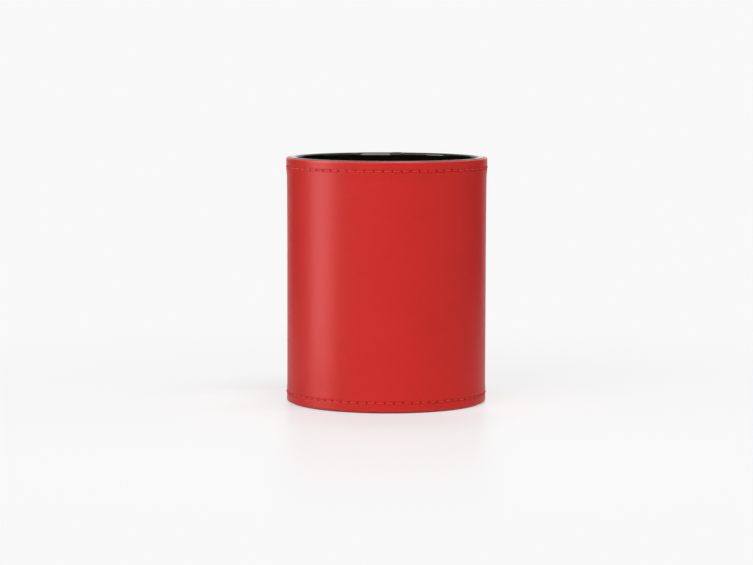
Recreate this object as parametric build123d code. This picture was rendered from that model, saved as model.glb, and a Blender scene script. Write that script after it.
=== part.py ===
from build123d import *
from math import ceil, cos, degrees, radians, sin
import os

# A round pen cup: a board tube covered in lapped and hemmed leather, lined in glossy sheet.
# The axis is +Z, the cup stands on Z = 0 and the seam of the leather faces +Y.

# Board body, in millimetres as every length here.
cup_height = 100.0
core_bore = 75.0
core_wall = 2.0
base_thickness = 3.0
base_clearance = 0.1

# Felt pad that the cup stands on.
pad_thickness = 1.2
pad_proud = 0.5
pad_clearance = 0.2

# Leather wrap and its two turned hems. Only the top one stands out, by the thickness of its ply.
leather = 0.95
top_hem_ply = 0.40
hem_depth = 8.0
hem_skive = 3.2
top_fold_radius = 0.7
bottom_fold_radius = 0.5

# Lapped seam of the leather, at the back.
seam_angle = 90.0
lap_width = 6.0
lap_ramp = 1.5
lap_rise = 0.45
lap_rim_rise = 0.20

# Stitching: flattened thread, drawn straight from hole to hole along a shallow groove.
stitches_round = 70
top_row_drop = 4.0
bottom_row_lift = 3.7
bottom_row_shift = 0.96
back_stitch = 3.66
back_row_margin = 2.0
thread_width = 0.60
thread_height = 0.40
thread_dip = 0.08
thread_margin = 0.1
groove_depth = 0.25

# Glossy lining of the bore and the floor.
lining = 0.5
lining_fold_radius = 0.5
lining_lap_width = 5.0
lining_lap_ramp = 1.5
lining_lap_rise = 0.35
lining_rim_rise = 0.15
rim_hairline = 0.1
lining_below_rim = 0.05
floor_card_thickness = 1.5
floor_clearance = 0.15

# Radii worked out from those sizes.
bore_radius = core_bore / 2
core_radius = bore_radius + core_wall
body_radius = core_radius + leather
top_band_radius = body_radius + top_hem_ply
lined_radius = bore_radius - lining
floor_radius = lined_radius - lining_lap_rise - floor_clearance

# Heights worked out from those sizes.
wrap_bottom = pad_proud
top_row = cup_height - top_row_drop
bottom_row = wrap_bottom + bottom_row_lift
lining_top = cup_height - lining_below_rim
core_top = lining_top - lining
base_top = pad_thickness + base_thickness
card_top = base_top + floor_card_thickness

# Stitch holes, as wide as the groove they open into.
hole_size = thread_width + 2 * thread_margin
stitch_pitch = 360 / stitches_round

# A lapped edge is buried this far in the layer below it, so that the two fuse as one sheet.
lap_bury = 0.1

# A cutter for a hole that goes right through runs on this far past the sheet.
cut_overrun = 0.1


def arc_angle(length, radius):
    """Angle in degrees that a length takes up round a circle."""
    return degrees(length / radius)


bottom_shift = arc_angle(bottom_row_shift, body_radius)


def upright_plane(angle):
    """Plane through the cup's axis, with its X pointing outwards at this angle."""
    a = radians(angle)
    return Plane(origin=(0, 0, 0), x_dir=(cos(a), sin(a), 0), z_dir=(sin(a), -cos(a), 0))


def polar(radius, angle):
    """Point in the XY plane at this radius and angle."""
    return (radius * cos(radians(angle)), radius * sin(radians(angle)))


def ring(inner, outer, low, high):
    """Plain ring of rectangular section."""
    section = make_face(
        Polyline((inner, low), (outer, low), (outer, high), (inner, high), close=True)
    )
    return revolve(upright_plane(0) * section, Axis.Z, 360)


def disc(radius, low, high):
    """Plain disc."""
    section = make_face(Polyline((0, low), (radius, low), (radius, high), (0, high), close=True))
    return revolve(upright_plane(0) * section, Axis.Z, 360)


def fold_points(centre, radius, start, flats):
    """Corners of a small fold drawn as flats, turning 90 degrees up or over from the start."""
    turns = [radians(start + 90 * k / flats) for k in range(flats + 1)]
    return [(centre[0] + radius * cos(a), centre[1] + radius * sin(a)) for a in turns]


def wrap_face_points(rise, rim_rise):
    """Face of the wrap from the bottom fold to the rim, standing out by the rise."""
    body = body_radius + rise
    band = top_band_radius + rise
    hem = cup_height - hem_depth
    low_fold = (body - bottom_fold_radius, wrap_bottom + bottom_fold_radius)
    high_fold = (band - top_fold_radius, cup_height + rim_rise - top_fold_radius)
    return [
        *fold_points(low_fold, bottom_fold_radius, -90, 1),
        (body, hem),
        (band, hem + hem_skive),
        *fold_points(high_fold, top_fold_radius, 0, 1),
    ]


def wrap_section():
    """Section of the wrap: its face, and the hems turned in against the tube."""
    back = [(core_radius, cup_height), (core_radius, wrap_bottom)]
    return make_face(Polyline(*wrap_face_points(0, 0), *back, close=True))


def wrap_lap_section(rise, rim_rise):
    """Section of the upper layer of the lapped seam, its back buried in the layer below."""
    buried = core_radius + leather / 3
    shelf = cup_height - top_fold_radius
    back = [
        (core_radius + lap_bury, cup_height + rim_rise),
        (core_radius + lap_bury, shelf),
        (buried, shelf - lap_bury),
        (buried, wrap_bottom),
    ]
    return make_face(Polyline(*wrap_face_points(rise, rim_rise), *back, close=True))


def lining_face_points(rise, rim_rise, outer):
    """Glossy face of the lining up the bore, over the rim and out to the outer radius."""
    inner = lined_radius - rise
    top = lining_top + rim_rise
    fold = (inner + lining_fold_radius, top - lining_fold_radius)
    return [
        (inner, base_top),
        *reversed(fold_points(fold, lining_fold_radius, 90, 1)),
        (outer, top),
    ]


def lining_lap_section(rise, rim_rise):
    """Section of the upper layer of the lining's lap, its back buried in the layer below."""
    buried = lined_radius + lining / 2
    outer = core_radius - rim_hairline - lap_bury
    back = [
        (outer, lining_top - lining / 2),
        (bore_radius, lining_top - lining / 2),
        (buried, core_top),
        (buried, base_top),
    ]
    return make_face(Polyline(*lining_face_points(rise, rim_rise, outer), *back, close=True))


def lap_layer(section, radius, width, ramp, rise, rim_rise):
    """Upper layer of a lapped seam: a ramp up from nothing, then full height to a free edge."""
    edge = seam_angle + arc_angle(width / 2, radius)
    foot = seam_angle - arc_angle(width / 2, radius)
    head = foot + arc_angle(ramp, radius)
    buried_foot = foot - (head - foot) * lap_bury / rise
    top = upright_plane(head) * section(rise, rim_rise)
    end = upright_plane(buried_foot) * section(-lap_bury, -lap_bury * rim_rise / rise)
    return revolve(top, Axis.Z, edge - head) + loft([top, end], ruled=True)


def lap_height(angle):
    """How far the lapped seam raises the face of the wrap at this angle."""
    foot = seam_angle - arc_angle(lap_width / 2, body_radius)
    edge = seam_angle + arc_angle(lap_width / 2, body_radius)
    if angle < foot or angle > edge:
        return 0.0
    return lap_rise * min(1.0, (angle - foot) / arc_angle(lap_ramp, body_radius))


def lap_corners():
    """Angles at which the face of the lapped seam changes direction."""
    foot = seam_angle - arc_angle(lap_width / 2, body_radius)
    edge = seam_angle + arc_angle(lap_width / 2, body_radius)
    return [foot, foot + arc_angle(lap_ramp, body_radius), edge]


def hole_angles(shift):
    """Angles of the stitch holes in a row round the cup, starting opposite the seam."""
    first = seam_angle + shift - stitch_pitch * (stitches_round // 2)
    return [first + stitch_pitch * k for k in range(stitches_round)]


def row_bed(band_radius, shift):
    """Corners of the bottom of a groove round the cup, at its holes and where the lap bends."""
    marks = sorted(hole_angles(shift) + lap_corners())
    return [polar(band_radius - groove_depth + lap_height(a), a) for a in marks]


def row_cutters(row, band_radius, shift):
    """Cutters for the groove and the stitch holes of a row round the cup."""
    clear = top_band_radius + 2 * lap_rise
    bed = make_face(Polyline(row_bed(band_radius, shift), close=True))
    groove = extrude(Circle(clear) - bed, amount=hole_size)
    low = core_radius - cut_overrun
    bar = Box(clear - low, hole_size, hole_size, align=(Align.MIN, Align.CENTER, Align.CENTER))
    holes = [Rot(0, 0, angle) * Pos(low, 0, row) * bar for angle in hole_angles(shift)]
    return [Pos(0, 0, row - hole_size / 2) * groove, *holes]


def row_thread(row, band_radius, shift):
    """Thread of a row round the cup, dipping into each hole between two stitches."""
    floor = band_radius - groove_depth
    slope = arc_angle(thread_width, floor)
    face = []
    for hole in hole_angles(shift):
        end = hole + stitch_pitch
        corners = [a for a in lap_corners() if hole + slope < a < end - slope]
        face.append(polar(floor + lap_height(hole) + thread_dip, hole))
        for angle in [hole + slope, *corners, end - slope]:
            face.append(polar(floor + lap_height(angle) + thread_height, angle))
    bed = make_face(Polyline(row_bed(band_radius, shift), close=True))
    band = make_face(Polyline(face, close=True)) - bed
    return Pos(0, 0, row - thread_width / 2) * extrude(band, amount=thread_width)


def back_row_heights():
    """Heights of the stitch holes up the lapped seam, evenly spaced between the hems."""
    low = wrap_bottom + hem_depth + back_row_margin
    high = cup_height - hem_depth - back_row_margin
    count = max(2, ceil((high - low) / back_stitch))
    return [low + (high - low) * k / count for k in range(count + 1)]


def back_floor():
    """Radius of the bottom of the groove up the lapped seam."""
    return body_radius + lap_rise - groove_depth


def back_slab(outline, width):
    """Slab of an outline in the plane of the lapped seam, centred on that plane."""
    return extrude(upright_plane(seam_angle) * make_face(outline), amount=width / 2, both=True)


def back_cutters():
    """Cutters for the groove and the holes of the lapped seam."""
    heights = back_row_heights()
    first = heights[0] - hole_size / 2
    last = heights[-1] + hole_size / 2
    clear = top_band_radius + 2 * lap_rise
    floor = back_floor()
    groove = Polyline((floor, first), (floor, last), (clear, last), (clear, first), close=True)
    low = core_radius - cut_overrun
    bar = Box(clear - low, hole_size, hole_size, align=(Align.MIN, Align.CENTER, Align.CENTER))
    holes = [Rot(0, 0, seam_angle) * Pos(low, 0, z) * bar for z in heights]
    return [back_slab(groove, hole_size), *holes]


def back_thread():
    """Thread of the lapped seam, dipping into each hole between two stitches."""
    heights = back_row_heights()
    floor = back_floor()
    face = [(floor, heights[0]), (floor + thread_dip, heights[0])]
    for low, high in zip(heights, heights[1:]):
        face.append((floor + thread_height, low + thread_width))
        face.append((floor + thread_height, high - thread_width))
        face.append((floor + thread_dip, high))
    face.append((floor, heights[-1]))
    return back_slab(Polyline(*face, close=True), thread_width)


def core_tube():
    return ring(bore_radius, core_radius, pad_thickness, core_top)


def base_board():
    return disc(bore_radius - base_clearance, pad_thickness, base_top)


def underside_pad():
    return disc(core_radius - pad_clearance, 0, pad_thickness)


def leather_wrap():
    sheet = revolve(upright_plane(0) * wrap_section(), Axis.Z, 360)
    sheet += lap_layer(wrap_lap_section, body_radius, lap_width, lap_ramp, lap_rise, lap_rim_rise)
    cutters = row_cutters(top_row, top_band_radius, 0)
    cutters += row_cutters(bottom_row, body_radius, bottom_shift)
    return sheet - cutters - back_cutters()


def wall_lining():
    outer = core_radius - rim_hairline
    back = [(outer, core_top), (bore_radius, core_top), (bore_radius, base_top)]
    section = make_face(Polyline(*lining_face_points(0, 0, outer), *back, close=True))
    sheet = revolve(upright_plane(0) * section, Axis.Z, 360)
    return sheet + lap_layer(
        lining_lap_section,
        lined_radius,
        lining_lap_width,
        lining_lap_ramp,
        lining_lap_rise,
        lining_rim_rise,
    )


def floor_card():
    return disc(floor_radius, base_top, card_top)


def floor_lining():
    return disc(floor_radius, card_top, card_top + lining)


parts = {
    "core_tube": core_tube(),
    "base_board": base_board(),
    "underside_pad": underside_pad(),
    "leather_wrap": leather_wrap(),
    "wall_lining": wall_lining(),
    "floor_card": floor_card(),
    "floor_lining": floor_lining(),
    "top_seam_thread": row_thread(top_row, top_band_radius, 0),
    "bottom_seam_thread": row_thread(bottom_row, body_radius, bottom_shift),
    "back_seam_thread": back_thread(),
}

os.makedirs("parts", exist_ok=True)
for name, shape in parts.items():
    export_step(shape, f"parts/{name}.step")
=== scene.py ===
# %% [markdown]
# # A stitched leather pen cup
# The cup is a stiff board tube with a board bottom. One red leather sheet goes round it, with a
# hem sewn at the rim and at the base and its two ends lapped and sewn at the back. A glossy black
# sheet lines the bore and turns out over the end of the tube, and a felt pad is glued underneath.
#
# The board pieces come ready in the measured frame. Everything that is soft, sewn or glossy is
# made here, in the same place and size, with the folds, stitches and grain that a plain solid lacks.

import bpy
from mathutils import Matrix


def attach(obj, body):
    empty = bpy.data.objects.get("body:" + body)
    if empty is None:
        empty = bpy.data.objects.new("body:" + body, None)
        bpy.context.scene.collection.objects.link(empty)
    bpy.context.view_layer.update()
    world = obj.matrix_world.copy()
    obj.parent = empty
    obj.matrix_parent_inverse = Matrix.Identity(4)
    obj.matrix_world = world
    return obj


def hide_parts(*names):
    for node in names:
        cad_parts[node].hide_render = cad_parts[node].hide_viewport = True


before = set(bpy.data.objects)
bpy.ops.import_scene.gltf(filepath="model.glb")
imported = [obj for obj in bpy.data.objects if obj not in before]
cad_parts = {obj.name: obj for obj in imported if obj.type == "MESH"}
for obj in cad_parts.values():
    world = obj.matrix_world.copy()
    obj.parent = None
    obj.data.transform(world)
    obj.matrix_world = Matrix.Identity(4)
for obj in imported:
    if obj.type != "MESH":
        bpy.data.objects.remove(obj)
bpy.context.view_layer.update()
print("frame pieces:", ", ".join(sorted(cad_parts)))

# %% Tools that every step uses
from math import cos, degrees, pi, radians, sin

import bpy
import numpy as np
from mathutils import Quaternion, Vector

mm = 0.001


def in_scene(name, data):
    """A new object in the scene, made of a mesh, a lamp or a camera."""
    made = bpy.data.objects.new(name, data)
    bpy.context.scene.collection.objects.link(made)
    return made


print("a millimetre is", mm, "of a unit of the scene")

# %% [markdown]
# ## The camera
# The cup is seen from a little above the rim, nearly square on and from far away: the sides stay
# upright and the rim is a thin ellipse. A long lens on a distant camera gives that. The lens is
# worked out from the size of the cup in a frame 753 pixels wide. A camera without perspective would
# come close, but it would draw the far side of the rim as wide as the near one.

# %% Camera
frame_width = 753
sensor_width = 36
camera_turn = 7.2
camera_distance = 1200 * mm
camera_height = 156.7 * mm
focal_pixels = 2952
aim_left = 4.07 * mm
aim_height = 48.6 * mm
camera_roll = 0.16


def place_camera():
    """A camera at the side and height of the view, aimed a little to the left of the cup."""
    data = bpy.data.cameras.new("view_camera")
    data.sensor_width = sensor_width
    data.lens = focal_pixels * sensor_width / frame_width
    data.clip_start, data.clip_end = 0.05, 60
    camera = in_scene("view_camera", data)
    turn = radians(camera_turn)
    across = Vector((cos(turn), sin(turn), 0))
    camera.location = (camera_distance * sin(turn), -camera_distance * cos(turn), camera_height)
    target = Vector((0, 0, aim_height)) - across * aim_left
    look = (target - camera.location).to_track_quat("-Z", "Y")
    camera.rotation_mode = "QUATERNION"
    camera.rotation_quaternion = look @ Quaternion((0, 0, 1), radians(camera_roll))
    bpy.context.scene.camera = camera
    return camera


camera = place_camera()
print("lens in mm:", round(camera.data.lens, 1))

# %% [markdown]
# ## Small helpers for node trees
# Materials and Geometry Nodes are both built from nodes, so the same helpers serve them all: one
# adds a node and fills its sockets, and the others do arithmetic. A socket is filled with a number,
# or linked when the value is itself the output of another node.

# %% Node helpers


def fill(tree, socket, value):
    """Link an output to a socket, or set the socket to a plain value."""
    if isinstance(value, bpy.types.NodeSocket):
        tree.links.new(value, socket)
    else:
        socket.default_value = value


def node(tree, kind, inputs=None, **settings):
    """Add a node, set its properties and fill the inputs given by name or by number."""
    made = tree.nodes.new(kind)
    for name, value in settings.items():
        setattr(made, name, value)
    for name, value in (inputs or {}).items():
        fill(tree, made.inputs[name], value)
    return made


def maths(tree, operation, *values):
    """The result of one arithmetic step."""
    return node(tree, "ShaderNodeMath", dict(enumerate(values)), operation=operation).outputs[0]


def times(tree, first, second):
    """The product of two numbers."""
    return maths(tree, "MULTIPLY", first, second)


def vectors(tree, operation, *values):
    """The result of one step of vector arithmetic."""
    made = node(tree, "ShaderNodeVectorMath", dict(enumerate(values)), operation=operation)
    return made.outputs["Value" if operation in ("LENGTH", "DISTANCE") else "Vector"]


def scaled(tree, vector, factor):
    """A vector or a colour times a number."""
    made = node(tree, "ShaderNodeVectorMath", {0: vector, "Scale": factor}, operation="SCALE")
    return made.outputs["Vector"]


def joined(tree, x, y, z):
    """A vector made of three numbers."""
    return node(tree, "ShaderNodeCombineXYZ", {0: x, 1: y, 2: z}).outputs[0]


def parted(tree, vector):
    """The three numbers of a vector."""
    return node(tree, "ShaderNodeSeparateXYZ", {0: vector}).outputs


def ranged(tree, value, low, high, to_low=0.0, to_high=1.0, ease="SMOOTHSTEP"):
    """A value moved from one range to another and held at its ends."""
    inputs = {"Value": value, "From Min": low, "From Max": high, "To Min": to_low, "To Max": to_high}
    return node(tree, "ShaderNodeMapRange", inputs, interpolation_type=ease).outputs["Result"]


def noise(tree, place, scale, detail, seed=None):
    """Cloudy noise: a number, then a colour. A seed picks another cloud."""
    inputs = {"Vector": place, "Scale": scale, "Detail": detail}
    if seed is None:
        return node(tree, "ShaderNodeTexNoise", inputs).outputs
    return node(tree, "ShaderNodeTexNoise", {**inputs, "W": seed}, noise_dimensions="4D").outputs


# %% [markdown]
# ## The studio
# A satin white table runs up into a white backdrop. A soft panel hangs overhead, a little in front
# and to the right, and a wide one stands in front at the left. A small one close by at the left only
# makes the tall soft highlight on the leather. The table shows nearly white to the camera by its
# own light, and still takes the soft shadow of the cup. Into that light are painted a soft shade in
# front of the cup and a brighter patch at its left.

# %% Table and backdrop
table_reach = 3.0
table_half_width = 4.0
backdrop_distance = 3.2
backdrop_bend = 0.8
backdrop_height = 3.0
bend_steps = 16
paper_white = 0.93
paper_roughness = 0.33
seen_white = 0.94

# The share of the paper's own light near the cup and far from it, and where the change lies.
glow_near, glow_far = 0.56, 1.0
glow_start, glow_end = 40 * mm, 320 * mm

# Two soft spots painted into that light: a painted shade in front of the cup and a painted pool of
# light at its left. Each gives its middle, inner and outer reach, and the level inside.
painted_front_shade = (8 * mm, -48 * mm, 0.0), 10 * mm, 55 * mm, 0.87
painted_side_light = (-55 * mm, 5 * mm, 0.0), 8 * mm, 40 * mm, 1.11


def quarter_turns(steps):
    """Angles that divide a quarter turn evenly, with both ends."""
    return [pi / 2 * step / steps for step in range(steps + 1)]


def sweep_table():
    """One sheet: a flat table, a bend and an upright backdrop behind, and a long way to each side."""
    bend_start = backdrop_distance - backdrop_bend
    outline = [(-table_reach, 0.0), (bend_start, 0.0)]
    for turn in quarter_turns(bend_steps)[1:]:
        outline.append((bend_start + backdrop_bend * sin(turn), backdrop_bend * (1 - cos(turn))))
    outline.append((backdrop_distance, backdrop_height))
    points = [(x, y, z) for y, z in outline for x in (-table_half_width, table_half_width)]
    faces = [(2 * k, 2 * k + 1, 2 * k + 3, 2 * k + 2) for k in range(len(outline) - 1)]
    mesh = bpy.data.meshes.new("table")
    mesh.from_pydata(points, [], faces)
    mesh.polygons.foreach_set("use_smooth", [True] * len(faces))
    table = in_scene("table", mesh)
    return table


def seen_directly(tree):
    """1 for what the camera sees straight, in a gloss or through something clear, and 0 for light."""
    rays = node(tree, "ShaderNodeLightPath").outputs
    seen = maths(tree, "MAXIMUM", rays["Is Camera Ray"], rays["Is Glossy Ray"])
    return maths(tree, "MAXIMUM", seen, rays["Is Transmission Ray"])


def soft_spot(tree, ground, middle, inner, outer, level):
    """A round spot of painted shade or painted light on the table, where its own light is weaker or stronger.
    """
    return ranged(tree, vectors(tree, "DISTANCE", ground, middle), inner, outer, level, 1.0)


def grey(level):
    """A colour without a hue."""
    return level, level, level, 1


def white_paper():
    """Satin white paper, shown part by its own light and part by the lamps, so shadows stay faint.

    Its own light carries a painted shade and a painted pool of light near the cup.
    """
    material = bpy.data.materials.new("white_paper")
    material.use_nodes = True
    tree = material.node_tree
    tree.nodes.clear()
    paper = {"Base Color": grey(paper_white), "Roughness": paper_roughness}
    satin = node(tree, "ShaderNodeBsdfPrincipled", paper).outputs[0]
    ground = node(tree, "ShaderNodeTexCoord").outputs["Object"]
    # Painted shade in front of the cup and a painted pool of light at its left, in the paper's own light.
    level = times(tree, soft_spot(tree, ground, *painted_front_shade), soft_spot(tree, ground, *painted_side_light))
    glow = node(tree, "ShaderNodeEmission", {"Color": grey(seen_white), "Strength": level}).outputs[0]
    away = vectors(tree, "LENGTH", ground)
    share = ranged(tree, away, glow_start, glow_end, glow_near, glow_far)
    share = times(tree, seen_directly(tree), share)
    mixed = node(tree, "ShaderNodeMixShader", {0: share, 1: satin, 2: glow}).outputs[0]
    node(tree, "ShaderNodeOutputMaterial", {"Surface": mixed})
    return material


table = sweep_table()
table.data.materials.append(white_paper())
print("table reaches", table_reach, "m and the backdrop stands at", backdrop_distance, "m")

# %% Lamps and surrounding light
world_light = 0.20
cup_middle = (0, 0, 50 * mm)

# Each panel: where it stands, the point that it faces, its width and height, and its power.
panels = {
    "overhead_panel": ((0.26, -0.24, 1.25), cup_middle, (0.72, 0.72), 11.2),
    "left_panel": ((-0.163, -0.077, 0.09), (0, 0, 0.09), (0.085, 0.23), 0.64),
    "front_panel": ((-0.58, -1.36, 0.75), cup_middle, (1.5, 1.0), 12.6),
}


def soft_panel(name, place, aim, size, power):
    """A rectangular soft lamp that faces a point."""
    data = bpy.data.lights.new(name, "AREA")
    data.shape = "RECTANGLE"
    data.size, data.size_y = size
    data.energy = power
    lamp = in_scene(name, data)
    lamp.location = place
    lamp.visible_camera = False
    lamp.rotation_mode = "QUATERNION"
    lamp.rotation_quaternion = (Vector(aim) - Vector(place)).to_track_quat("-Z", "Y")
    return lamp


def surrounding_light():
    """White seen directly, and a plain soft level of light from all round."""
    world = bpy.data.worlds.new("studio")
    world.use_nodes = True
    tree = world.node_tree
    tree.nodes.clear()
    level = ranged(tree, seen_directly(tree), 0, 1, world_light, seen_white, "LINEAR")
    light = node(tree, "ShaderNodeBackground", {"Color": grey(1), "Strength": level}).outputs[0]
    node(tree, "ShaderNodeOutputWorld", {"Surface": light})
    bpy.context.scene.world = world


surrounding_light()
lamps = {name: soft_panel(name, *panel) for name, panel in panels.items()}
side_lamp = lamps["left_panel"]
side_lamp.visible_diffuse = False
bpy.context.scene.view_settings.view_transform = "Standard"
print("lamps:", {name: round(lamp.data.energy, 2) for name, lamp in lamps.items()})

# %% [markdown]
# ## Two dark cards
# Seen at a grazing angle, leather mirrors whatever stands behind it. In an all white room both edges
# of the cup would turn chalky, so a photographer stands a dark card at each side, out of the picture
# and a little behind. They are here for reflections alone: they take no light from the cup.

# %% Dark cards
card_height = 0.24
card_near = (0.235, 0.30)
card_far = (0.31, 0.02)
card_black = 0.01


def dark_cards():
    """An upright black card at each side, placed to the side of and behind the cup as it is seen."""
    black = bpy.data.materials.new("black_card")
    black.use_nodes = True
    shader = black.node_tree.nodes["Principled BSDF"]
    shader.inputs["Base Color"].default_value = grey(card_black)
    shader.inputs["Roughness"].default_value = 1.0
    turn = radians(camera_turn)
    aside, behind = Vector((cos(turn), sin(turn), 0)), Vector((-sin(turn), cos(turn), 0))
    up = Vector((0, 0, card_height))
    for name, side in (("left_card", -1), ("right_card", 1)):
        near, far = (aside * side * across + behind * back for across, back in (card_near, card_far))
        mesh = bpy.data.meshes.new(name)
        mesh.from_pydata([tuple(p) for p in (near, far, far + up, near + up)], [], [(0, 1, 2, 3)])
        mesh.materials.append(black)
        card = in_scene(name, mesh)
        card.visible_camera = card.visible_diffuse = card.visible_shadow = False


dark_cards()
print("cards stand", round(card_near[0] / mm), "to", round(card_far[0] / mm), "mm to each side")

# %% [markdown]
# ## Sizes of the cup
# They repeat the sizes of the board tube and of what is glued to it. Angles are in degrees round
# the upright axis, and the seam is at the back, at 90 degrees.

# %% Sizes
cup_height = 100 * mm
core_radius = 39.5 * mm
bore_radius = 37.5 * mm
leather = 0.95 * mm
body_radius = core_radius + leather
top_ply = 0.38 * mm
bottom_ply = 0.10 * mm
wrap_bottom = 0.5 * mm
crown_drop = 0.17 * mm
seam_angle = 90.0

# How the sheet swells: a slow flare towards the rim, and a slope where each hem begins.
flare = 0.14 * mm
flare_start, flare_length = 62 * mm, 31 * mm
top_hem_start, bottom_hem_end = 92.0 * mm, 8.5 * mm
hem_slope = 3.2 * mm

# Folds at the base and at both sides of the crown.
base_fold, outer_fold, inner_fold = 0.5 * mm, 0.6 * mm, 0.4 * mm

# The lapped seam: a ramp up from nothing, then full height to a rounded free edge.
lap_width = 6.0 * mm
lap_ramp = 1.5 * mm
lap_rise = 0.45 * mm
lap_rim_rise = 0.10 * mm
lap_round = 0.25 * mm

# Stitches: how many, where their rows run, and how far the lower row is shifted.
stitches_round = 70
stitch_pitch = 360 / stitches_round
top_row = 96.0 * mm
bottom_row = 4.2 * mm
bottom_shift = degrees(0.96 * mm / body_radius)
back_low, back_high = 10.5 * mm, 90.0 * mm
back_stitches = 22
groove_depth, groove_reach = 0.12 * mm, 0.50 * mm
hole_depth, hole_reach = 0.34 * mm, 0.42 * mm
pucker_height, pucker_reach = 0.05 * mm, 1.3 * mm
print("stitch length in mm:", round(radians(stitch_pitch) * body_radius / mm, 2))

# %% [markdown]
# ## The leather sleeve
# On the real cup this is one sheet about a millimetre thick. Both long edges are turned in as hems
# and sewn, so a thin band stands out at the rim and at the base. Every stitch pulls the leather
# down, hardest at the holes, and the leather puckers a little between them.
#
# It could be modelled as a plain tube with a bump texture for the stitching, but then the outline
# and the light along the rows would stay straight. Here the whole surface is a grid of points: the
# columns go round the cup and the rows follow the section of the sheet, up the face, over the
# rim and down the back. Each point is pushed in or out by what the sewing does there.

# %% Rows of the sleeve: the section of the sheet
fold_steps = 6


def smooth(share):
    """A soft step from 0 to 1 that starts and ends level."""
    return share * share * (3 - 2 * share)


def face_heights():
    """Heights of the rows on the face, close together where the stitches run."""
    back_half = (back_high - back_low) / (2 * back_stitches)
    return np.concatenate([
        np.arange(1.0, 2.9, 0.45) * mm,
        np.arange(2.95, 5.5, 0.25) * mm,
        np.arange(5.7, 9.6, 0.65) * mm,
        np.arange(back_low, back_high + back_half / 2, back_half),
        np.arange(91.0, 94.5, 0.7) * mm,
        np.arange(94.75, 97.3, 0.25) * mm,
        np.arange(97.6, 99.2, 0.45) * mm,
    ])


def swell(height):
    """How far the sheet stands out at a height: a hem at each end, and a flare below the rim."""
    widening = flare * np.clip((height - flare_start) / flare_length, 0, 1) ** 2
    rise = smooth(np.clip((height - top_hem_start) / hem_slope, 0, 1))
    fall = smooth(np.clip((bottom_hem_end - height) / hem_slope, 0, 1))
    return widening + (top_ply - widening) * rise + bottom_ply * fall


def sleeve_rows():
    """Section of the sheet as rows: radius, height, lap push outwards and up, share of sewing."""
    foot = body_radius + bottom_ply - base_fold
    rows = [(core_radius + share * (foot - core_radius), wrap_bottom, share, 0, 0) for share in (0, 0.4, 0.8)]
    for turn in quarter_turns(fold_steps)[:-1]:
        rows.append((foot + base_fold * sin(turn), wrap_bottom + base_fold * (1 - cos(turn)), 1, 0, 1))
    for height in face_heights():
        rows.append((body_radius + float(swell(height)), float(height), 1, 0, 1))
    crown, crown_height = body_radius + top_ply - outer_fold, cup_height - crown_drop
    for turn in quarter_turns(fold_steps + 1):
        radius, height = crown + outer_fold * cos(turn), crown_height - outer_fold * (1 - sin(turn))
        rows.append((radius, height, cos(turn), sin(turn), 1))
    for turn in quarter_turns(fold_steps)[1:]:
        radius = crown - (crown - core_radius) * sin(turn)
        rows.append((radius, crown_height - inner_fold * (1 - cos(turn)), 0, cos(turn), 0))
    return np.array(rows + [(core_radius, height * mm, 0, 0, 0) for height in (80, 50, 20)])


rows = sleeve_rows()
print("rows in the section of the sleeve:", len(rows))

# %% Columns of the sleeve: angles round the cup
columns_per_stitch = 11
least_column = 0.008


def seam_distance(angle):
    """Distance round the face from the middle of the seam, in metres."""
    return np.radians((angle - seam_angle + 180) % 360 - 180) * body_radius


def column_angles():
    """Evenly spaced columns, with more where the lap starts and ends."""
    even = seam_angle + stitch_pitch * np.arange(0, stitches_round, 1 / columns_per_stitch)
    edge = lap_width / 2
    steps = (-0.18, -0.12, -0.07, -0.035, -0.012, 0, 0.02, 0.1)
    close = [-edge, edge - lap_round] + [edge + step * mm for step in steps]
    groove = [step * mm for step in (-0.5, -0.18, 0.18, 0.5)]
    extra = seam_angle + np.degrees(np.array(close + groove) / body_radius)
    angles = np.sort(np.concatenate([even, extra]) % 360)
    return angles[np.concatenate([[True], np.diff(angles) > least_column])]


angles = column_angles()
print("columns round the cup:", len(angles))

# %% What the lap and the sewing do to the sheet


def in_lap(distance):
    """Whether a place lies on the lap."""
    return (distance > -lap_width / 2) & (distance < lap_width / 2)


def lap_slope(distance):
    """The ramp up at the skived end of the lap, from 0 to 1."""
    return smooth(np.clip((distance + lap_width / 2) / lap_ramp, 0, 1))


def lap_share(distance):
    """Height of the lap, from 0 to 1: it ramps up, runs level and ends in a rounded edge."""
    over = np.clip((distance - lap_width / 2 + lap_round) / lap_round, 0, 1)
    return np.where(in_lap(distance), lap_slope(distance) * np.sqrt(1 - over ** 2), 0.0)


def hollow(along, across, reach):
    """A soft round hollow: 1 in its middle and fading out over its reach."""
    return np.exp(-(along / reach) ** 2 - (across / reach) ** 2)


def ridge(across, reach):
    """A soft straight line: 1 in its middle and fading out to both sides."""
    return np.exp(-(across / reach) ** 2)


def nearest(count):
    """Signed distance of a position from the nearest whole number."""
    return count - np.round(count)


def sewing(angle, height):
    """Push of the sewing on the face, and how strongly a place is a groove or a hole."""
    push, groove, hole = 0.0, 0.0, 0.0
    for row, shift in ((top_row, 0.0), (bottom_row, bottom_shift)):
        count = (angle - seam_angle - shift) / stitch_pitch
        along = nearest(count) * radians(stitch_pitch) * body_radius
        across = height - row
        line, dot = ridge(across, groove_reach), hollow(along, across, hole_reach)
        pucker = ridge(across, pucker_reach) * (1 - np.cos(2 * pi * count)) / 2
        push = push - groove_depth * line - hole_depth * dot + pucker_height * pucker
        groove, hole = np.maximum(groove, line), np.maximum(hole, dot)
    count = (height - back_low) / (back_high - back_low) * back_stitches
    along = nearest(count) * (back_high - back_low) / back_stitches
    across = seam_distance(angle)
    ends = np.clip((height - back_low) / mm + 1, 0, 1) * np.clip((back_high - height) / mm + 1, 0, 1)
    line, dot = ridge(across, groove_reach) * ends, hollow(along, across, hole_reach) * ends
    push = push - groove_depth * line - hole_depth * dot
    return push, np.maximum(groove, line), np.maximum(hole, dot)


print("the sewing pulls a hole down by", round((groove_depth + hole_depth) / mm, 2), "mm")

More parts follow.
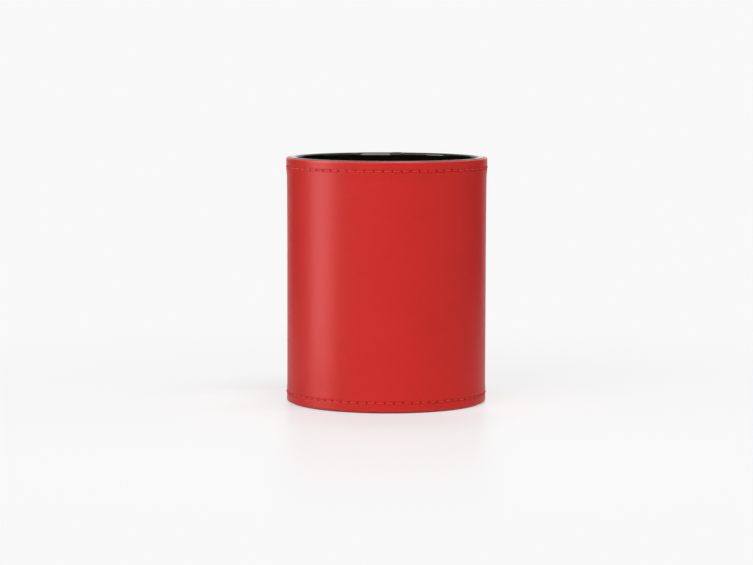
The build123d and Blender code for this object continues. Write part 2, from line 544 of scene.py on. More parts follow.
# %% Build the sleeve
sway_height = 0.03 * mm
cut_reach = 0.18 * mm
crown_fold_reach, base_fold_reach = 0.9 * mm, 0.6 * mm
crown_start, crown_ramp = 1.0 * mm, 0.6 * mm


def closed_grid(name, points, down, across):
    """A mesh whose grid of points closes on itself in both directions."""
    index = np.arange(down * across).reshape(down, across)
    right, below = np.roll(index, -1, axis=1), np.roll(index, -1, axis=0)
    corner = np.roll(below, -1, axis=1)
    faces = np.stack([index, right, corner, below], axis=-1).reshape(-1, 4)
    mesh = bpy.data.meshes.new(name)
    mesh.from_pydata(points.reshape(-1, 3).tolist(), [], faces.tolist())
    mesh.polygons.foreach_set("use_smooth", [True] * len(mesh.polygons))
    mesh.update()
    return mesh


def link_piece(name, mesh, slot, *stands_for):
    """Put a finished mesh in the scene as a piece that stands for pieces of the frame."""
    piece = in_scene(name, mesh)
    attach(piece, "root")
    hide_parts(*stands_for)
    mesh.calc_loop_triangles()
    print(name + ":", len(mesh.loop_triangles), "triangles")
    return piece


def note(mesh, name, values):
    """Keep a number for every point of a mesh, for its material to read."""
    kept = mesh.attributes.new(name, "FLOAT", "POINT")
    kept.data.foreach_set("value", np.asarray(values, np.float32).ravel())


def build_sleeve():
    """The whole leather sheet as one closed surface."""
    radius, height, out, up, sewn = (rows[:, [k]] for k in range(5))
    angle = np.broadcast_to(angles, (len(rows), len(angles)))
    distance = seam_distance(angle)
    lap = lap_share(distance)
    push, groove, hole = sewing(angle, height)
    turn = np.radians(angle)
    sway = np.sin(2 * turn + 0.7) + 0.6 * np.sin(5 * turn + 40 * height) + 0.4 * np.sin(9 * turn + 2)
    reach = radius + (lap * lap_rise + push * (sewn > 0) + sway_height * sway * sewn) * out
    level = height + (lap * lap_rim_rise) * up
    points = np.stack([reach * np.cos(turn), reach * np.sin(turn), level], axis=-1)
    mesh = closed_grid("leather_sleeve", points, len(rows), len(angles))
    fold = ridge(cup_height - height, crown_fold_reach) + ridge(height - wrap_bottom, base_fold_reach)
    crown = np.clip((height - cup_height + crown_start) / crown_ramp, 0, 1)
    # Masks for the finish: painted shade in the groove and the holes, edge paint with painted shade along the
    # lap's cut end, a coat on the crown, and a lighter colour on the folds.
    marks = {
        "groove": groove * sewn, "hole": hole * sewn, "fold": fold * sewn, "crown": crown,
        "edge_paint_and_shade": ridge(distance - lap_width / 2, cut_reach) * sewn,
    }
    for name, values in marks.items():
        note(mesh, name, np.broadcast_to(values, distance.shape))
    return mesh


sleeve = link_piece("leather_sleeve", build_sleeve(), "red_leather", "leather_wrap")

# %% [markdown]
# ## Finishes that several materials share
# Nothing real is one flat colour. Dye takes a little unevenly, board is speckled and felt is
# fibrous. Two node groups make that once, and each material sets its own sizes: a slow mottle of
# tone, and a tangle of short fibres.

# %% Shared groups


def new_group(name, inputs, outputs):
    """A shader node group with named number inputs, a vector input and named outputs."""
    group = bpy.data.node_groups.new(name, "ShaderNodeTree")
    group.interface.new_socket("Vector", in_out="INPUT", socket_type="NodeSocketVector")
    for label, value in inputs:
        socket = group.interface.new_socket(label, in_out="INPUT", socket_type="NodeSocketFloat")
        socket.default_value = value
    for label in outputs:
        group.interface.new_socket(label, in_out="OUTPUT", socket_type="NodeSocketFloat")
    return group, group.nodes.new("NodeGroupInput").outputs, group.nodes.new("NodeGroupOutput").inputs


def in_cells(group, given, size):
    """The place counted in cells of a size, so that a pattern keeps its real scale."""
    return scaled(group, given["Vector"], maths(group, "DIVIDE", 1.0, given[size]))


def mottle_group():
    """Slow cloudy change of tone. Size is the size of a cloud in metres, and the result is near 1."""
    group, given, result = new_group("mottle", [("Size", 0.02), ("Contrast", 0.1)], ["Tone"])
    cloud = noise(group, in_cells(group, given, "Size"), 1.0, 3.0)[0]
    offset = times(group, maths(group, "SUBTRACT", cloud, 0.5), given["Contrast"])
    fill(group, result["Tone"], maths(group, "ADD", offset, 1.0))
    return group


def fibre_group():
    """A tangle of short fibres: warped noise folded into thin bright lines."""
    group, given, result = new_group("fibres", [("Size", 0.001), ("Warp", 1.5)], ["Fibre", "Speck"])
    place = in_cells(group, given, "Size")
    bend = noise(group, place, 0.6, 1.0)["Color"]
    warped = vectors(group, "ADD", place, scaled(group, bend, given["Warp"]))
    lines = noise(group, warped, 1.8, 2.0)[0]
    fold = maths(group, "ABSOLUTE", maths(group, "SUBTRACT", lines, 0.5))
    fill(group, result["Fibre"], ranged(group, fold, 0.0, 0.09, 1.0, 0.0))
    fill(group, result["Speck"], ranged(group, noise(group, place, 0.9, 0.0)[0], 0.60, 0.72))
    return group


mottle, fibres = mottle_group(), fibre_group()


def use_group(tree, group, vector, **inputs):
    """Place a shared group in a material with its own values."""
    return node(tree, "ShaderNodeGroup", {"Vector": vector, **inputs}, node_tree=group).outputs


def new_material(name):
    """An empty material: its tree, its Principled shader and object coordinates."""
    material = bpy.data.materials.new(name)
    material.use_nodes = True
    tree = material.node_tree
    shader = tree.nodes["Principled BSDF"]
    place = node(tree, "ShaderNodeTexCoord").outputs["Object"]
    return material, tree, shader, place


def attribute(tree, name):
    """A number kept on the points of the mesh."""
    return node(tree, "ShaderNodeAttribute", attribute_name=name).outputs["Fac"]


def blended(tree, share, first, second):
    """One colour fading into another."""
    return node(tree, "ShaderNodeMix", {0: share, 6: first, 7: second}, data_type="RGBA").outputs[2]


def set_shader(tree, shader, values):
    """Fill the inputs of the shader that make the finish."""
    for name, value in values.items():
        fill(tree, shader.inputs[name], value)


def raised(tree, height, strength, depth):
    """A normal that catches the light as if a pattern stood up by a depth."""
    inputs = {"Height": height, "Strength": strength, "Distance": depth}
    return node(tree, "ShaderNodeBump", inputs).outputs["Normal"]


print("shared groups:", mottle.name, "and", fibres.name)

# %% [markdown]
# ## Red leather
# Smooth corrected hide with a satin finish. Under the finish there is a very fine grain: small
# rounded cells parted by thin creases, with tiny pores. The grain is a Voronoi pattern, because
# its cells have the same uneven size and shape as real grain. Painted shade darkens the colour a
# little in the grooves the thread presses and in the creases of the grain, and much more down in
# the stitch holes. The cut end of the lap is edge-painted darker, with painted shade along its
# step, and the folds are lighter.

# %% Leather material
leather_red = (0.59, 0.0265, 0.0215)
shade_and_edge_paint_red = (0.27, 0.004, 0.004, 1)
lighter_fold_red = (0.66, 0.045, 0.032, 1)
leather_roughness = 0.33
grain_cell = 0.75 * mm


def grain_group():
    """Fine leather grain: rounded cells with creases between them, and pores."""
    group, given, result = new_group("hide_grain", [("Cell", 0.001)], ["Height", "Crease"])
    place = in_cells(group, given, "Cell")
    warped = vectors(group, "ADD", place, scaled(group, noise(group, place, 0.8, 2.0)["Color"], 0.9))
    pattern = {"Vector": warped, "Scale": 1.0}
    cells = node(group, "ShaderNodeTexVoronoi", pattern, feature="DISTANCE_TO_EDGE").outputs["Distance"]
    crown = ranged(group, cells, 0.0, 0.22)
    pores = noise(group, place, 3.1, 2.0)[0]
    fill(group, result["Height"], maths(group, "ADD", crown, times(group, pores, 0.35)))
    fill(group, result["Crease"], maths(group, "SUBTRACT", 1.0, crown))
    return group


def leather_material():
    """Dyed satin hide with grain, lighter folds, edge paint, and painted shade in grooves, holes and creases.
    """
    material, tree, shader, place = new_material("red_leather")
    grain = use_group(tree, grain_group(), place, Cell=grain_cell)
    cloud = use_group(tree, mottle, place, Size=22 * mm, Contrast=0.10)["Tone"]
    patch = use_group(tree, mottle, place, Size=3.5 * mm, Contrast=0.06)["Tone"]
    groove, hole, cut, fold = (attribute(tree, name) for name in ("groove", "hole", "edge_paint_and_shade", "fold"))
    colour = scaled(tree, leather_red, times(tree, cloud, patch))
    # Painted shade in the grooves, the stitch holes and the creases of the grain, edge paint with painted
    # shade along the lap's cut end, and a lighter colour on the folds.
    for mark, most, dye in (
        (fold, 0.35, lighter_fold_red), (groove, 0.06, shade_and_edge_paint_red), (hole, 0.85, shade_and_edge_paint_red),
        (cut, 0.60, shade_and_edge_paint_red), (grain["Crease"], 0.10, shade_and_edge_paint_red),
    ):
        colour = blended(tree, times(tree, mark, most), colour, dye)
    matt = maths(tree, "ADD", leather_roughness, times(tree, grain["Crease"], 0.08))
    matt = maths(tree, "ADD", matt, times(tree, maths(tree, "MAXIMUM", cut, groove), 0.25))
    set_shader(tree, shader, {
        "Base Color": colour, "Roughness": times(tree, matt, patch), "Specular IOR Level": 0.075,
        "Coat Weight": times(tree, attribute(tree, "crown"), 0.5), "Coat Roughness": 0.30,
        "Normal": raised(tree, grain["Height"], 0.25, 0.02 * mm),
    })
    return material


red_leather = leather_material()
sleeve.data.materials.append(red_leather)
print("grain cells are", round(grain_cell / mm, 2), "mm across")

# %% [markdown]
# ## Sewing thread
# The thread is two plies twisted together. Each stitch comes up out of its hole, lies flat along
# the groove and goes down the next hole. There are 162 of them in three rows and all follow the
# same rule, so they are made with Geometry Nodes: a rail runs along the bottom of the groove, the
# tree samples it stitch by stitch, bends both ends down, gives each a slightly different lie, and
# sweeps a two-lobed section along it that turns as it goes, which is what a twisted thread is.

# %% The stitch tree
section_sides = 8


def tree_with(name, sockets):
    """A Geometry Nodes tree with named inputs and one mesh output."""
    kinds = {float: "NodeSocketFloat", int: "NodeSocketInt"}
    tree = bpy.data.node_groups.new(name, "GeometryNodeTree")
    tree.interface.new_socket("Guide", in_out="INPUT", socket_type="NodeSocketGeometry")
    for label, value in sockets:
        socket = tree.interface.new_socket(label, in_out="INPUT", socket_type=kinds[type(value)])
        socket.default_value = value
    tree.interface.new_socket("Finish", in_out="INPUT", socket_type="NodeSocketMaterial")
    tree.interface.new_socket("Mesh", in_out="OUTPUT", socket_type="NodeSocketGeometry")
    return tree, tree.nodes.new("NodeGroupInput").outputs, tree.nodes.new("NodeGroupOutput").inputs


def finish_tree(tree, mesh, given, result):
    """Smooth, real geometry with its material, ready to be turned into a plain mesh."""
    rounded = node(tree, "GeometryNodeSetShadeSmooth", {0: mesh}).outputs[0]
    real = node(tree, "GeometryNodeRealizeInstances", {0: rounded}).outputs[0]
    painted = node(tree, "GeometryNodeSetMaterial", {0: real, "Material": given["Finish"]}).outputs[0]
    fill(tree, result["Mesh"], painted)


def keep_number(tree, mesh, name, value):
    """Store a number on the points inside a tree, for a material to read."""
    inputs = {0: mesh, "Name": name, "Value": value}
    return node(tree, "GeometryNodeStoreNamedAttribute", inputs, data_type="FLOAT").outputs[0]


def stitch_tree():
    """A row of twisted stitches along a rail."""
    tree, given, result = tree_with("stitch_row", [
        ("Stitches", 70), ("Points", 13), ("Width", 0.5 * mm), ("Waist", 0.66), ("Seat", 0.2 * mm),
        ("Dip", 0.4 * mm), ("Gap", 0.03), ("Twists", 1.6), ("Slant", 0.1 * mm), ("Unevenness", 0.03 * mm),
        ("Seed", 4),
    ])
    rail = node(tree, "GeometryNodeMeshToCurve", {0: given["Guide"]}).outputs[0]
    index = node(tree, "GeometryNodeInputIndex").outputs[0]
    stitch = maths(tree, "FLOOR", maths(tree, "DIVIDE", index, given["Points"]))
    step = maths(tree, "SUBTRACT", index, times(tree, stitch, given["Points"]))
    along = maths(tree, "DIVIDE", step, maths(tree, "SUBTRACT", given["Points"], 1.0))
    inner = maths(tree, "SUBTRACT", 1.0, times(tree, given["Gap"], 2.0))
    start = maths(tree, "ADD", stitch, given["Gap"])
    factor = maths(tree, "DIVIDE", maths(tree, "MULTIPLY_ADD", along, inner, start), given["Stitches"])
    sample = node(tree, "GeometryNodeSampleCurve", {"Curves": rail, "Factor": factor}, mode="FACTOR")
    place, tangent = sample.outputs["Position"], sample.outputs["Tangent"]
    outward = vectors(tree, "NORMALIZE", vectors(tree, "MULTIPLY", place, (1, 1, 0)))
    side = vectors(tree, "CROSS_PRODUCT", tangent, outward)
    spread = {0: (-1, -1, -1), 1: (1, 1, 1), "ID": stitch, "Seed": given["Seed"]}
    lie = node(tree, "FunctionNodeRandomValue", spread, data_type="FLOAT_VECTOR").outputs[0]
    lie = parted(tree, lie)
    ends = maths(tree, "ABSOLUTE", maths(tree, "MULTIPLY_ADD", along, 2.0, -1.0))
    drop = times(tree, ranged(tree, ends, 0.60, 1.0), given["Dip"])
    uneven = times(tree, lie[0], given["Unevenness"])
    lift = maths(tree, "ADD", maths(tree, "SUBTRACT", given["Seat"], drop), uneven)
    sway = times(tree, lie[1], given["Unevenness"])
    sway = maths(tree, "MULTIPLY_ADD", maths(tree, "SUBTRACT", along, 0.5), given["Slant"], sway)
    place = vectors(tree, "ADD", place, scaled(tree, outward, lift))
    place = vectors(tree, "ADD", place, scaled(tree, side, sway))
    count = times(tree, given["Stitches"], given["Points"])
    points = node(tree, "GeometryNodePoints", {"Count": count, "Position": place}).outputs[0]
    strung = {0: points, "Curve Group ID": stitch, "Weight": along}
    lines = node(tree, "GeometryNodePointsToCurves", strung).outputs[0]
    turn = times(tree, maths(tree, "MULTIPLY_ADD", along, given["Twists"], lie[2]), 2 * pi)
    lines = node(tree, "GeometryNodeSetCurveTilt", {0: lines, "Tilt": turn}).outputs[0]
    lines = keep_number(tree, lines, "along", along)
    ring = {"Resolution": section_sides, "Radius": times(tree, given["Width"], 0.5)}
    circle = node(tree, "GeometryNodeCurvePrimitiveCircle", ring).outputs[0]
    spot = node(tree, "GeometryNodeInputPosition").outputs[0]
    waisted = vectors(tree, "MULTIPLY", spot, joined(tree, 1.0, given["Waist"], 1.0))
    lobes = node(tree, "GeometryNodeSetPosition", {0: circle, "Position": waisted}).outputs[0]
    lobes = keep_number(tree, lobes, "around", maths(tree, "DIVIDE", index, section_sides))
    swept = {"Curve": lines, "Profile Curve": lobes, "Fill Caps": True}
    finish_tree(tree, node(tree, "GeometryNodeCurveToMesh", swept).outputs[0], given, result)
    return tree


stitches = stitch_tree()
print("stitch tree has", len(stitches.nodes), "nodes")

# %% Rails along the grooves, and a way to turn a tree into a plain mesh
rail_points, back_rail_points = 1441, 200
bridge_start, bridge_length = 0.62 * mm, 0.55 * mm


def polyline(name, points):
    """A guide of points joined by edges."""
    mesh = bpy.data.meshes.new(name)
    mesh.from_pydata([tuple(p) for p in points], [(k, k + 1) for k in range(len(points) - 1)], [])
    return mesh


def made_by_tree(name, guide, tree, inputs):
    """Run a tree on a guide mesh and keep the result as a plain mesh."""
    holder = in_scene(name + "_guide", guide)
    modifier = holder.modifiers.new(tree.name, "NODES")
    modifier.node_group = tree
    names = {item.name: item.identifier for item in tree.interface.items_tree if item.in_out == "INPUT"}
    for label, value in inputs.items():
        modifier[names[label]] = value
    holder.update_tag()
    ready = holder.evaluated_get(bpy.context.evaluated_depsgraph_get())
    mesh = bpy.data.meshes.new_from_object(ready)
    mesh.name = name
    bpy.data.objects.remove(holder)
    face_outwards(mesh)
    return mesh


def face_outwards(mesh):
    """Turn a closed mesh the right way out, judged by the sign of its volume."""
    mesh.calc_loop_triangles()
    corners = np.zeros(len(mesh.vertices) * 3)
    mesh.vertices.foreach_get("co", corners)
    corners = corners.reshape(-1, 3)
    faces = np.zeros(len(mesh.loop_triangles) * 3, int)
    mesh.loop_triangles.foreach_get("vertices", faces)
    a, b, c = (corners[faces.reshape(-1, 3)[:, k]] for k in range(3))
    if np.einsum("ij,ij->i", a, np.cross(b, c)).sum() < 0:
        mesh.flip_normals()


def lap_rail(distance):
    """Height of the thread over the lap: it bridges the free edge down to the next hole."""
    bridge = np.clip((lap_width / 2 + bridge_start - distance) / bridge_length, 0, 1)
    return np.where(in_lap(distance), lap_slope(distance), np.where(distance > 0, bridge, 0.0))


def row_rail(row, ply, shift):
    """Rail of a row round the cup, starting opposite the seam."""
    turn = np.linspace(-180, 180, rail_points) + seam_angle + shift
    radius = body_radius + ply - groove_depth + lap_rise * lap_rail(seam_distance(turn))
    turn = np.radians(turn)
    return np.stack([radius * np.cos(turn), radius * np.sin(turn), np.full_like(turn, row)], axis=-1)


def back_rail():
    """Rail up the seam."""
    height = np.linspace(back_low, back_high, back_rail_points)
    radius = body_radius + lap_rise + swell(height) - groove_depth
    return np.stack([np.zeros_like(height), radius, height], axis=-1)


print("rails have", rail_points, "points round the cup and", back_rail_points, "up the seam")

# %% [markdown]
# ## Thread finish
# Polyester thread dyed to match the leather. Its colour is set a shade brighter than the leather's,
# a painted sheen for the light its fibres catch, with fine streaks that run along each ply. Towards
# both ends of a stitch it is painted dark, as painted shade where it goes down its holes. A picture
# of thread would look the same on every stitch, so the streaks are noise laid out along the ply and
# round it.

# %% Thread material
# A shade brighter than the leather: painted sheen for the light the fibres catch.
thread_red = (0.69, 0.038, 0.021)
thread_shade = (0.20, 0.003, 0.003, 1)


def thread_material():
    """Streaked dyed thread, painted dark as shade where it goes down its holes."""
    material, tree, shader, place = new_material("red_thread")
    along, around = attribute(tree, "along"), attribute(tree, "around")
    strand = joined(tree, times(tree, around, 9.0), times(tree, along, 3.0), 0.0)
    streak = noise(tree, vectors(tree, "ADD", strand, scaled(tree, place, 300.0)), 1.0, 2.0)[0]
    cloud = use_group(tree, mottle, place, Size=4 * mm, Contrast=0.25)["Tone"]
    tone = times(tree, ranged(tree, streak, 0.3, 0.7, 0.80, 1.15), cloud)
    # Painted shade: the thread darkens towards both ends, where it goes down into its holes.
    ends = maths(tree, "ABSOLUTE", maths(tree, "MULTIPLY_ADD", along, 2.0, -1.0))
    shown = ranged(tree, ends, 0.75, 0.93, 1.0, 0.0)
    set_shader(tree, shader, {
        "Base Color": blended(tree, shown, thread_shade, scaled(tree, thread_red, tone)),
        "Roughness": ranged(tree, streak, 0.3, 0.7, 0.50, 0.66), "Specular IOR Level": 0.22,
        "Sheen Weight": 0.10, "Sheen Roughness": 0.4, "Normal": raised(tree, streak, 0.6, 0.03 * mm),
    })
    return material


red_thread = thread_material()
print("thread finish:", red_thread.name)

# %% Sew the three rows
thread_seat = 0.13 * mm
rails = {
    "top_stitches": (row_rail(top_row, top_ply, 0.0), stitches_round, "top_seam_thread", 4),
    "bottom_stitches": (
        row_rail(bottom_row, bottom_ply, bottom_shift), stitches_round, "bottom_seam_thread", 9,
    ),
    "back_stitches": (back_rail(), back_stitches, "back_seam_thread", 15),
}
for name, (rail, count, stands_for, seed) in rails.items():
    mesh = made_by_tree(name, polyline(name, rail), stitches, {
        "Stitches": count, "Seat": thread_seat, "Seed": seed, "Finish": red_thread,
    })
    link_piece(name, mesh, "red_thread", stands_for)

# %% [markdown]
# ## Sheets turned round the axis
# The lining of the bore, the lining of the floor and the felt pad are all a section turned round
# the axis of the cup. A Screw modifier would turn it as well, but too evenly. A lathe tree lays out
# a grid, takes each row from a point of the section and each column from an angle, and joins the
# ends. Three things keep its result from looking machined: slow waves, which bend the reflections
# in the gloss as a glued sheet does, a lap where the ends of the sheet meet, and some slack beside
# the lap, where the edge isn't pulled tight. Columns are gathered near the lap to keep it crisp.

# %% The lathe tree
joint_round = 0.15 * mm
slack_rise, slack_fade = 1.0 * mm, 4.0 * mm
weld_distance = 0.001 * mm


def lathe_tree():
    """A section of points turned round the axis, with waves, a lapped joint and slack beside it."""
    tree, given, result = tree_with("turned_sheet", [
        ("Columns", 300), ("Gather", 0.0), ("Wave", 0.05 * mm), ("Wave Size", 20 * mm), ("Ripple", 0.0),
        ("Lap Half", 2.5 * mm), ("Lap Ramp", 1.5 * mm), ("Lap Rise", 0.0), ("Slack End", 18 * mm),
        ("Seed", 3.0),
    ])
    guide = node(tree, "GeometryNodeAttributeDomainSize", {0: given["Guide"]}, component="MESH")
    rows = guide.outputs["Point Count"]
    columns = maths(tree, "ADD", given["Columns"], 1.0)
    size = {"Size X": 1.0, "Size Y": 1.0, "Vertices X": columns, "Vertices Y": rows}
    grid = node(tree, "GeometryNodeMeshGrid", size)
    position = node(tree, "GeometryNodeInputPosition").outputs[0]
    spot = parted(tree, position)
    share = maths(tree, "ADD", spot["Y"], 0.5)
    which = maths(tree, "ROUND", times(tree, share, maths(tree, "SUBTRACT", rows, 1.0)))

    def of_section(field):
        """The parts of a vector of the section, taken from the point that this row stands for."""
        inputs = {"Geometry": given["Guide"], "Value": field, "Index": which}
        kinds = {"data_type": "FLOAT_VECTOR", "domain": "POINT"}
        return parted(tree, node(tree, "GeometryNodeSampleIndex", inputs, **kinds).outputs[0])

    def kept(name):
        """A vector kept on the points of the section."""
        named = node(tree, "GeometryNodeInputNamedAttribute", {"Name": name}, data_type="FLOAT_VECTOR")
        return named.outputs[0]

    def round_axis(turn, radius, level):
        """The place at an angle, a radius and a height."""
        x, y = (times(tree, maths(tree, way, turn), radius) for way in ("COSINE", "SINE"))
        return joined(tree, x, y, level)

    point, push, slack = of_section(position), of_section(kept("push")), of_section(kept("slack"))
    turn = times(tree, spot["X"], 2 * pi)
    turn = maths(tree, "SUBTRACT", turn, times(tree, maths(tree, "SINE", turn), given["Gather"]))
    distance = times(tree, turn, point["X"])
    foot = times(tree, given["Lap Half"], -1.0)
    ramp = ranged(tree, distance, foot, maths(tree, "ADD", foot, given["Lap Ramp"]))
    edge = maths(tree, "SUBTRACT", given["Lap Half"], joint_round)
    lap = times(tree, ramp, ranged(tree, distance, edge, given["Lap Half"], 1.0, 0.0))
    lap = times(tree, lap, given["Lap Rise"])
    past = ranged(tree, distance, edge, maths(tree, "ADD", edge, slack_rise))
    near_end = maths(tree, "SUBTRACT", given["Slack End"], slack_fade)
    loose = times(tree, past, ranged(tree, distance, near_end, given["Slack End"], 1.0, 0.0))
    turn = maths(tree, "ADD", turn, radians(seam_angle))
    flat = round_axis(turn, point["X"], point["Z"])
    field = scaled(tree, flat, maths(tree, "DIVIDE", 1.0, given["Wave Size"]))
    cloud, fine = (noise(tree, field, *fineness, given["Seed"])[0] for fineness in ((1.0, 1.0), (4.0, 2.0)))
    wave = times(tree, maths(tree, "SUBTRACT", cloud, 0.5), given["Wave"])
    wave = maths(tree, "MULTIPLY_ADD", maths(tree, "SUBTRACT", fine, 0.5), given["Ripple"], wave)
    lift = maths(tree, "ADD", wave, lap)
    radius = maths(tree, "MULTIPLY_ADD", lift, push["X"], point["X"])
    radius = maths(tree, "MULTIPLY_ADD", loose, slack["X"], radius)
    level = maths(tree, "MULTIPLY_ADD", lift, push["Z"], point["Z"])
    level = maths(tree, "MULTIPLY_ADD", loose, slack["Z"], level)
    placed = {0: grid.outputs["Mesh"], "Position": round_axis(turn, radius, level)}
    sheet = node(tree, "GeometryNodeSetPosition", placed).outputs[0]
    sheet = node(tree, "GeometryNodeMergeByDistance", {0: sheet, "Distance": weld_distance}).outputs[0]
    finish_tree(tree, sheet, given, result)
    return tree


lathe = lathe_tree()
print("lathe tree has", len(lathe.nodes), "nodes")

# %% Sections for the lathe


def section(name, points, slack=()):
    """A closed section as a guide: radius, height and how far waves and lap push it out and up.

    Slack gives some of its points, by number, another place where the sheet isn't pulled tight.
    """
    points = points + points[:1]
    mesh = polyline(name, [(radius, 0, height) for radius, height, _, _ in points])
    push = mesh.attributes.new("push", "FLOAT_VECTOR", "POINT")
    push.data.foreach_set("vector", [v for _, _, out, up in points for v in (out, 0, up)])
    loose = mesh.attributes.new("slack", "FLOAT_VECTOR", "POINT")
    for number, (radius, height) in slack:
        loose.data[number].vector = (radius - points[number][0], 0, height - points[number][1])
    return mesh


def quarter(centre, radius, start, steps, push=1.0):
    """Points of a quarter round, counted in degrees from straight out."""
    made = []
    for step in range(steps + 1):
        turn = radians(start + 90 * step / steps)
        place = centre[0] + radius * cos(turn), centre[1] + radius * sin(turn)
        made.append((*place, push * cos(turn), push * sin(turn)))
    return made


# %% [markdown]
# ## Glossy black lining
# A stiff coated sheet glued inside the bore. It shows the white studio back in long, slightly
# wavy streaks, and its turned-out top edge makes the thin grey line of the rim. One even gloss would
# look like moulded plastic, so faint smears dull it here and there, and it carries a little dust.

# %% Lining material
lining_black = (0.0062, 0.0048, 0.0036, 1)
dust_grey = (0.06, 0.055, 0.05, 1)
lining_roughness = 0.05


def lining_material():
    """Smeared and slightly dusty black gloss."""
    material, tree, shader, place = new_material("black_lining")
    smear = use_group(tree, mottle, place, Size=9 * mm, Contrast=1.0)["Tone"]
    haze = use_group(tree, mottle, place, Size=1.2 * mm, Contrast=0.6)["Tone"]
    dust = use_group(tree, fibres, place, Size=1.4 * mm, Warp=1.0)["Speck"]
    gloss = times(tree, times(tree, smear, haze), lining_roughness)
    set_shader(tree, shader, {
        "Base Color": blended(tree, times(tree, dust, 0.04), lining_black, dust_grey),
        "Roughness": maths(tree, "MULTIPLY_ADD", dust, 0.05, gloss), "Specular IOR Level": 0.30,
        "Normal": raised(tree, haze, 0.15, 0.01 * mm),
    })
    return material


black_lining = lining_material()
print("lining finish:", black_lining.name)

# %% Lining of the bore
lining = 0.5 * mm
lined_radius = bore_radius - lining
floor_level = 4.2 * mm
lining_top = cup_height
lining_edge = core_radius - 0.1 * mm
edge_round = 0.3 * mm
rim_roll = 0.9 * mm
roll_steps = 12
rim_push = 0.35
even_rows, even_top = 38, 97.2 * mm


def wall_section():
    """Up the bore, round the rim and back down behind."""
    inner = [
        (lined_radius + rim_roll * (1 + out), lining_top - rim_roll * (1 - up), out, up * rim_push)
        for _, _, out, up in reversed(quarter((0, 0), 1, 90, roll_steps))
    ]
    heights = [*np.linspace(floor_level, even_top, even_rows), 97.9 * mm, 98.4 * mm, 98.8 * mm]
    corner = quarter((lining_edge - edge_round, lining_top - edge_round), edge_round, 0, 4)
    outer = [(radius, height, 0, rim_push * up) for radius, height, _, up in reversed(corner)]
    back = [(lining_edge, lining_top - lining + 0.02 * mm, 0, 0)]
    back += [(bore_radius, height, 0, 0) for height in (lining_top - lining, 50 * mm, floor_level)]
    return [(lined_radius, height, -1, 0) for height in heights] + inner + outer + back


def wall_slack():
    """Next to its joint the sheet isn't pulled tight: it slopes up to the rim instead of rolling."""
    foot = [(36.99, 97.9), (36.96, 98.45), (36.93, 98.80)]
    slope = [(36.92 + 0.0755 * k, 98.90 + 0.0935 * k) for k in range(10)]
    brink = [(37.80, 99.88), (37.95, 99.97), (38.10, 100.0)]
    places = [(radius * mm, height * mm) for radius, height in foot + slope + brink]
    return list(enumerate(places, even_rows))


wall = made_by_tree("glossy_wall", section("wall_section", wall_section(), wall_slack()), lathe, {
    "Columns": 420, "Gather": 0.85, "Wave": 0.16 * mm, "Wave Size": 24 * mm, "Ripple": 0.012 * mm,
    "Lap Rise": 0.35 * mm, "Seed": 3.0, "Finish": black_lining,
})
link_piece("glossy_wall", wall, "black_lining", "wall_lining")

# %% [markdown]
# ## Floor of the cup
# A board disc covered in the same sheet drops into the bottom. The sheet is turned down round the
# edge of the disc, so its rim is a small round that catches one thin line of light. The lathe tree
# makes it too, from a section that starts and ends on the axis.

# %% Lining of the floor
card_radius = 36.5 * mm
card_top = 5.7 * mm
card_gap = 0.01 * mm
skirt_bottom = 4.7 * mm
skirt = 0.12 * mm
floor_fold = 0.45 * mm
floor_rings = 26


def floor_section():
    """Over the top of the disc, round its edge and under it."""
    top, edge = card_top + lining, card_radius + skirt
    spread = [(radius, top, 0, 1) for radius in np.linspace(0, edge - floor_fold, floor_rings)[:-1]]
    turned = list(reversed(quarter((edge - floor_fold, top - floor_fold), floor_fold, 0, 5, 0.3)))
    inner = card_radius + card_gap
    under = [(edge, skirt_bottom), (inner, skirt_bottom), (inner, card_top), (0, card_top)]
    return spread + turned + [(*place, 0, 0) for place in under]


floor = made_by_tree("glossy_floor", section("floor_section", floor_section()), lathe, {
    "Columns": 220, "Wave": 0.12 * mm, "Wave Size": 21 * mm, "Ripple": 0.01 * mm, "Seed": 8.0,
    "Finish": black_lining,
})
link_piece("glossy_floor", floor, "black_lining", "floor_lining")

# %% [markdown]
# ## Felt pad
# Pressed wool felt under the base, cut with a die, so its edge is slightly rounded and woolly. It
# is nearly black, with lighter single fibres lying in every direction. Real strands would take
# more faces than the whole cup on a side that seldom shows, so the fibres are drawn by the finish.

# %% Felt
pad_radius = 39.3 * mm
pad_top = 1.2 * mm
pad_foot = 0.02 * mm
pad_low_round, pad_top_round = 0.3 * mm, 0.15 * mm
pad_rings = 30
felt_black = (0.010, 0.010, 0.011, 1)
fibre_grey = (0.045, 0.044, 0.047, 1)


def felt_material():
    """Nearly black felt with lighter single fibres."""
    material, tree, shader, place = new_material("black_felt")
    coarse = use_group(tree, fibres, place, Size=1.1 * mm, Warp=2.2)["Fibre"]
    fine = use_group(tree, fibres, place, Size=0.5 * mm, Warp=1.6)["Fibre"]
    cloud = use_group(tree, mottle, place, Size=6 * mm, Contrast=0.5)["Tone"]
    strands = maths(tree, "MAXIMUM", coarse, times(tree, fine, 0.6))
    set_shader(tree, shader, {
        "Base Color": scaled(tree, blended(tree, strands, felt_black, fibre_grey), cloud),
        "Roughness": ranged(tree, strands, 0, 1, 0.96, 0.85), "Sheen Weight": 0.35,
        "Sheen Roughness": 0.6, "Normal": raised(tree, strands, 0.8, 0.15 * mm),
    })
    return material


def pad_section():
    """A disc with both edges softened."""
    inner = pad_radius - pad_low_round
    under = [(radius, pad_foot, 0, 0.5) for radius in np.linspace(0, inner, pad_rings)[:-1]]
    low = quarter((inner, pad_low_round + pad_foot), pad_low_round, 270, 4)
    high = quarter((pad_radius - pad_top_round, pad_top - pad_top_round), pad_top_round, 0, 3)
    return under + low + high + [(0, pad_top, 0, 0)]


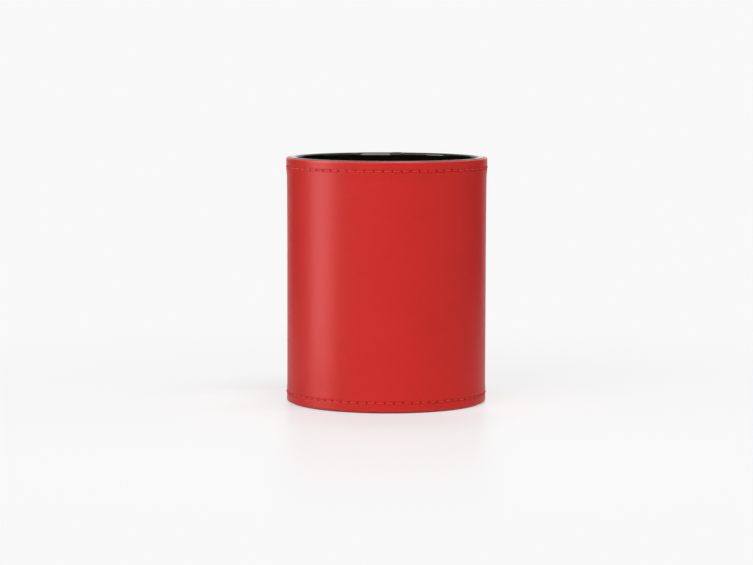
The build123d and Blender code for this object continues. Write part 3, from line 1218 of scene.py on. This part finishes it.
pad = made_by_tree("felt_pad", section("pad_section", pad_section()), lathe, {
    "Columns": 260, "Wave": 0.0, "Wave Size": 5 * mm, "Ripple": 0.06 * mm, "Seed": 5.0,
    "Finish": felt_material(),
})
link_piece("felt_pad", pad, "black_felt", "underside_pad")

# %% [markdown]
# ## Greyboard
# The tube, the base and the floor disc keep the shapes of the frame and only need a finish. It is
# pressed from waste paper: warm grey, with pale and dark flecks of fibre. The shared groups that
# made the felt make these flecks too, with other sizes and colours.

# %% Board material
board_grey = (0.33, 0.30, 0.26, 1)
pale_fleck = (0.50, 0.47, 0.42, 1)
dark_fleck = (0.16, 0.14, 0.12, 1)


def board_material():
    """Flecked grey board."""
    material, tree, shader, place = new_material("greyboard")
    flecks = use_group(tree, fibres, place, Size=0.9 * mm, Warp=1.2)
    cloud = use_group(tree, mottle, place, Size=7 * mm, Contrast=0.25)["Tone"]
    colour = blended(tree, times(tree, flecks["Fibre"], 0.5), board_grey, pale_fleck)
    colour = blended(tree, times(tree, flecks["Speck"], 0.6), colour, dark_fleck)
    set_shader(tree, shader, {
        "Base Color": scaled(tree, colour, cloud),
        "Roughness": ranged(tree, flecks["Fibre"], 0, 1, 0.94, 0.82),
        "Normal": raised(tree, flecks["Fibre"], 0.5, 0.08 * mm),
    })
    return material


greyboard = board_material()
for name in ("core_tube", "base_board", "floor_card"):
    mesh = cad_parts[name].data
    mesh.materials.clear()
    mesh.materials.append(greyboard)
print("board finish:", greyboard.name)

# %% [markdown]
# ## The side panel and the table
# The panel at the left stands close to the cup and reaches below the table top, as one on a stand
# beside the table does, so that its highlight runs down to the base. The satin table would mirror
# it as a bright patch with a hard edge. The panel is therefore linked to the cup: it shines on the
# cup's own pieces, and nothing else takes or stops its light.

# %% Link the side panel to the cup
lit_pieces = bpy.data.collections.new("lit_by_side_panel")
for name in ("leather_sleeve", "glossy_wall", "glossy_floor", *rails):
    lit_pieces.objects.link(bpy.data.objects[name])
side_lamp.light_linking.receiver_collection = lit_pieces
side_lamp.light_linking.blocker_collection = lit_pieces
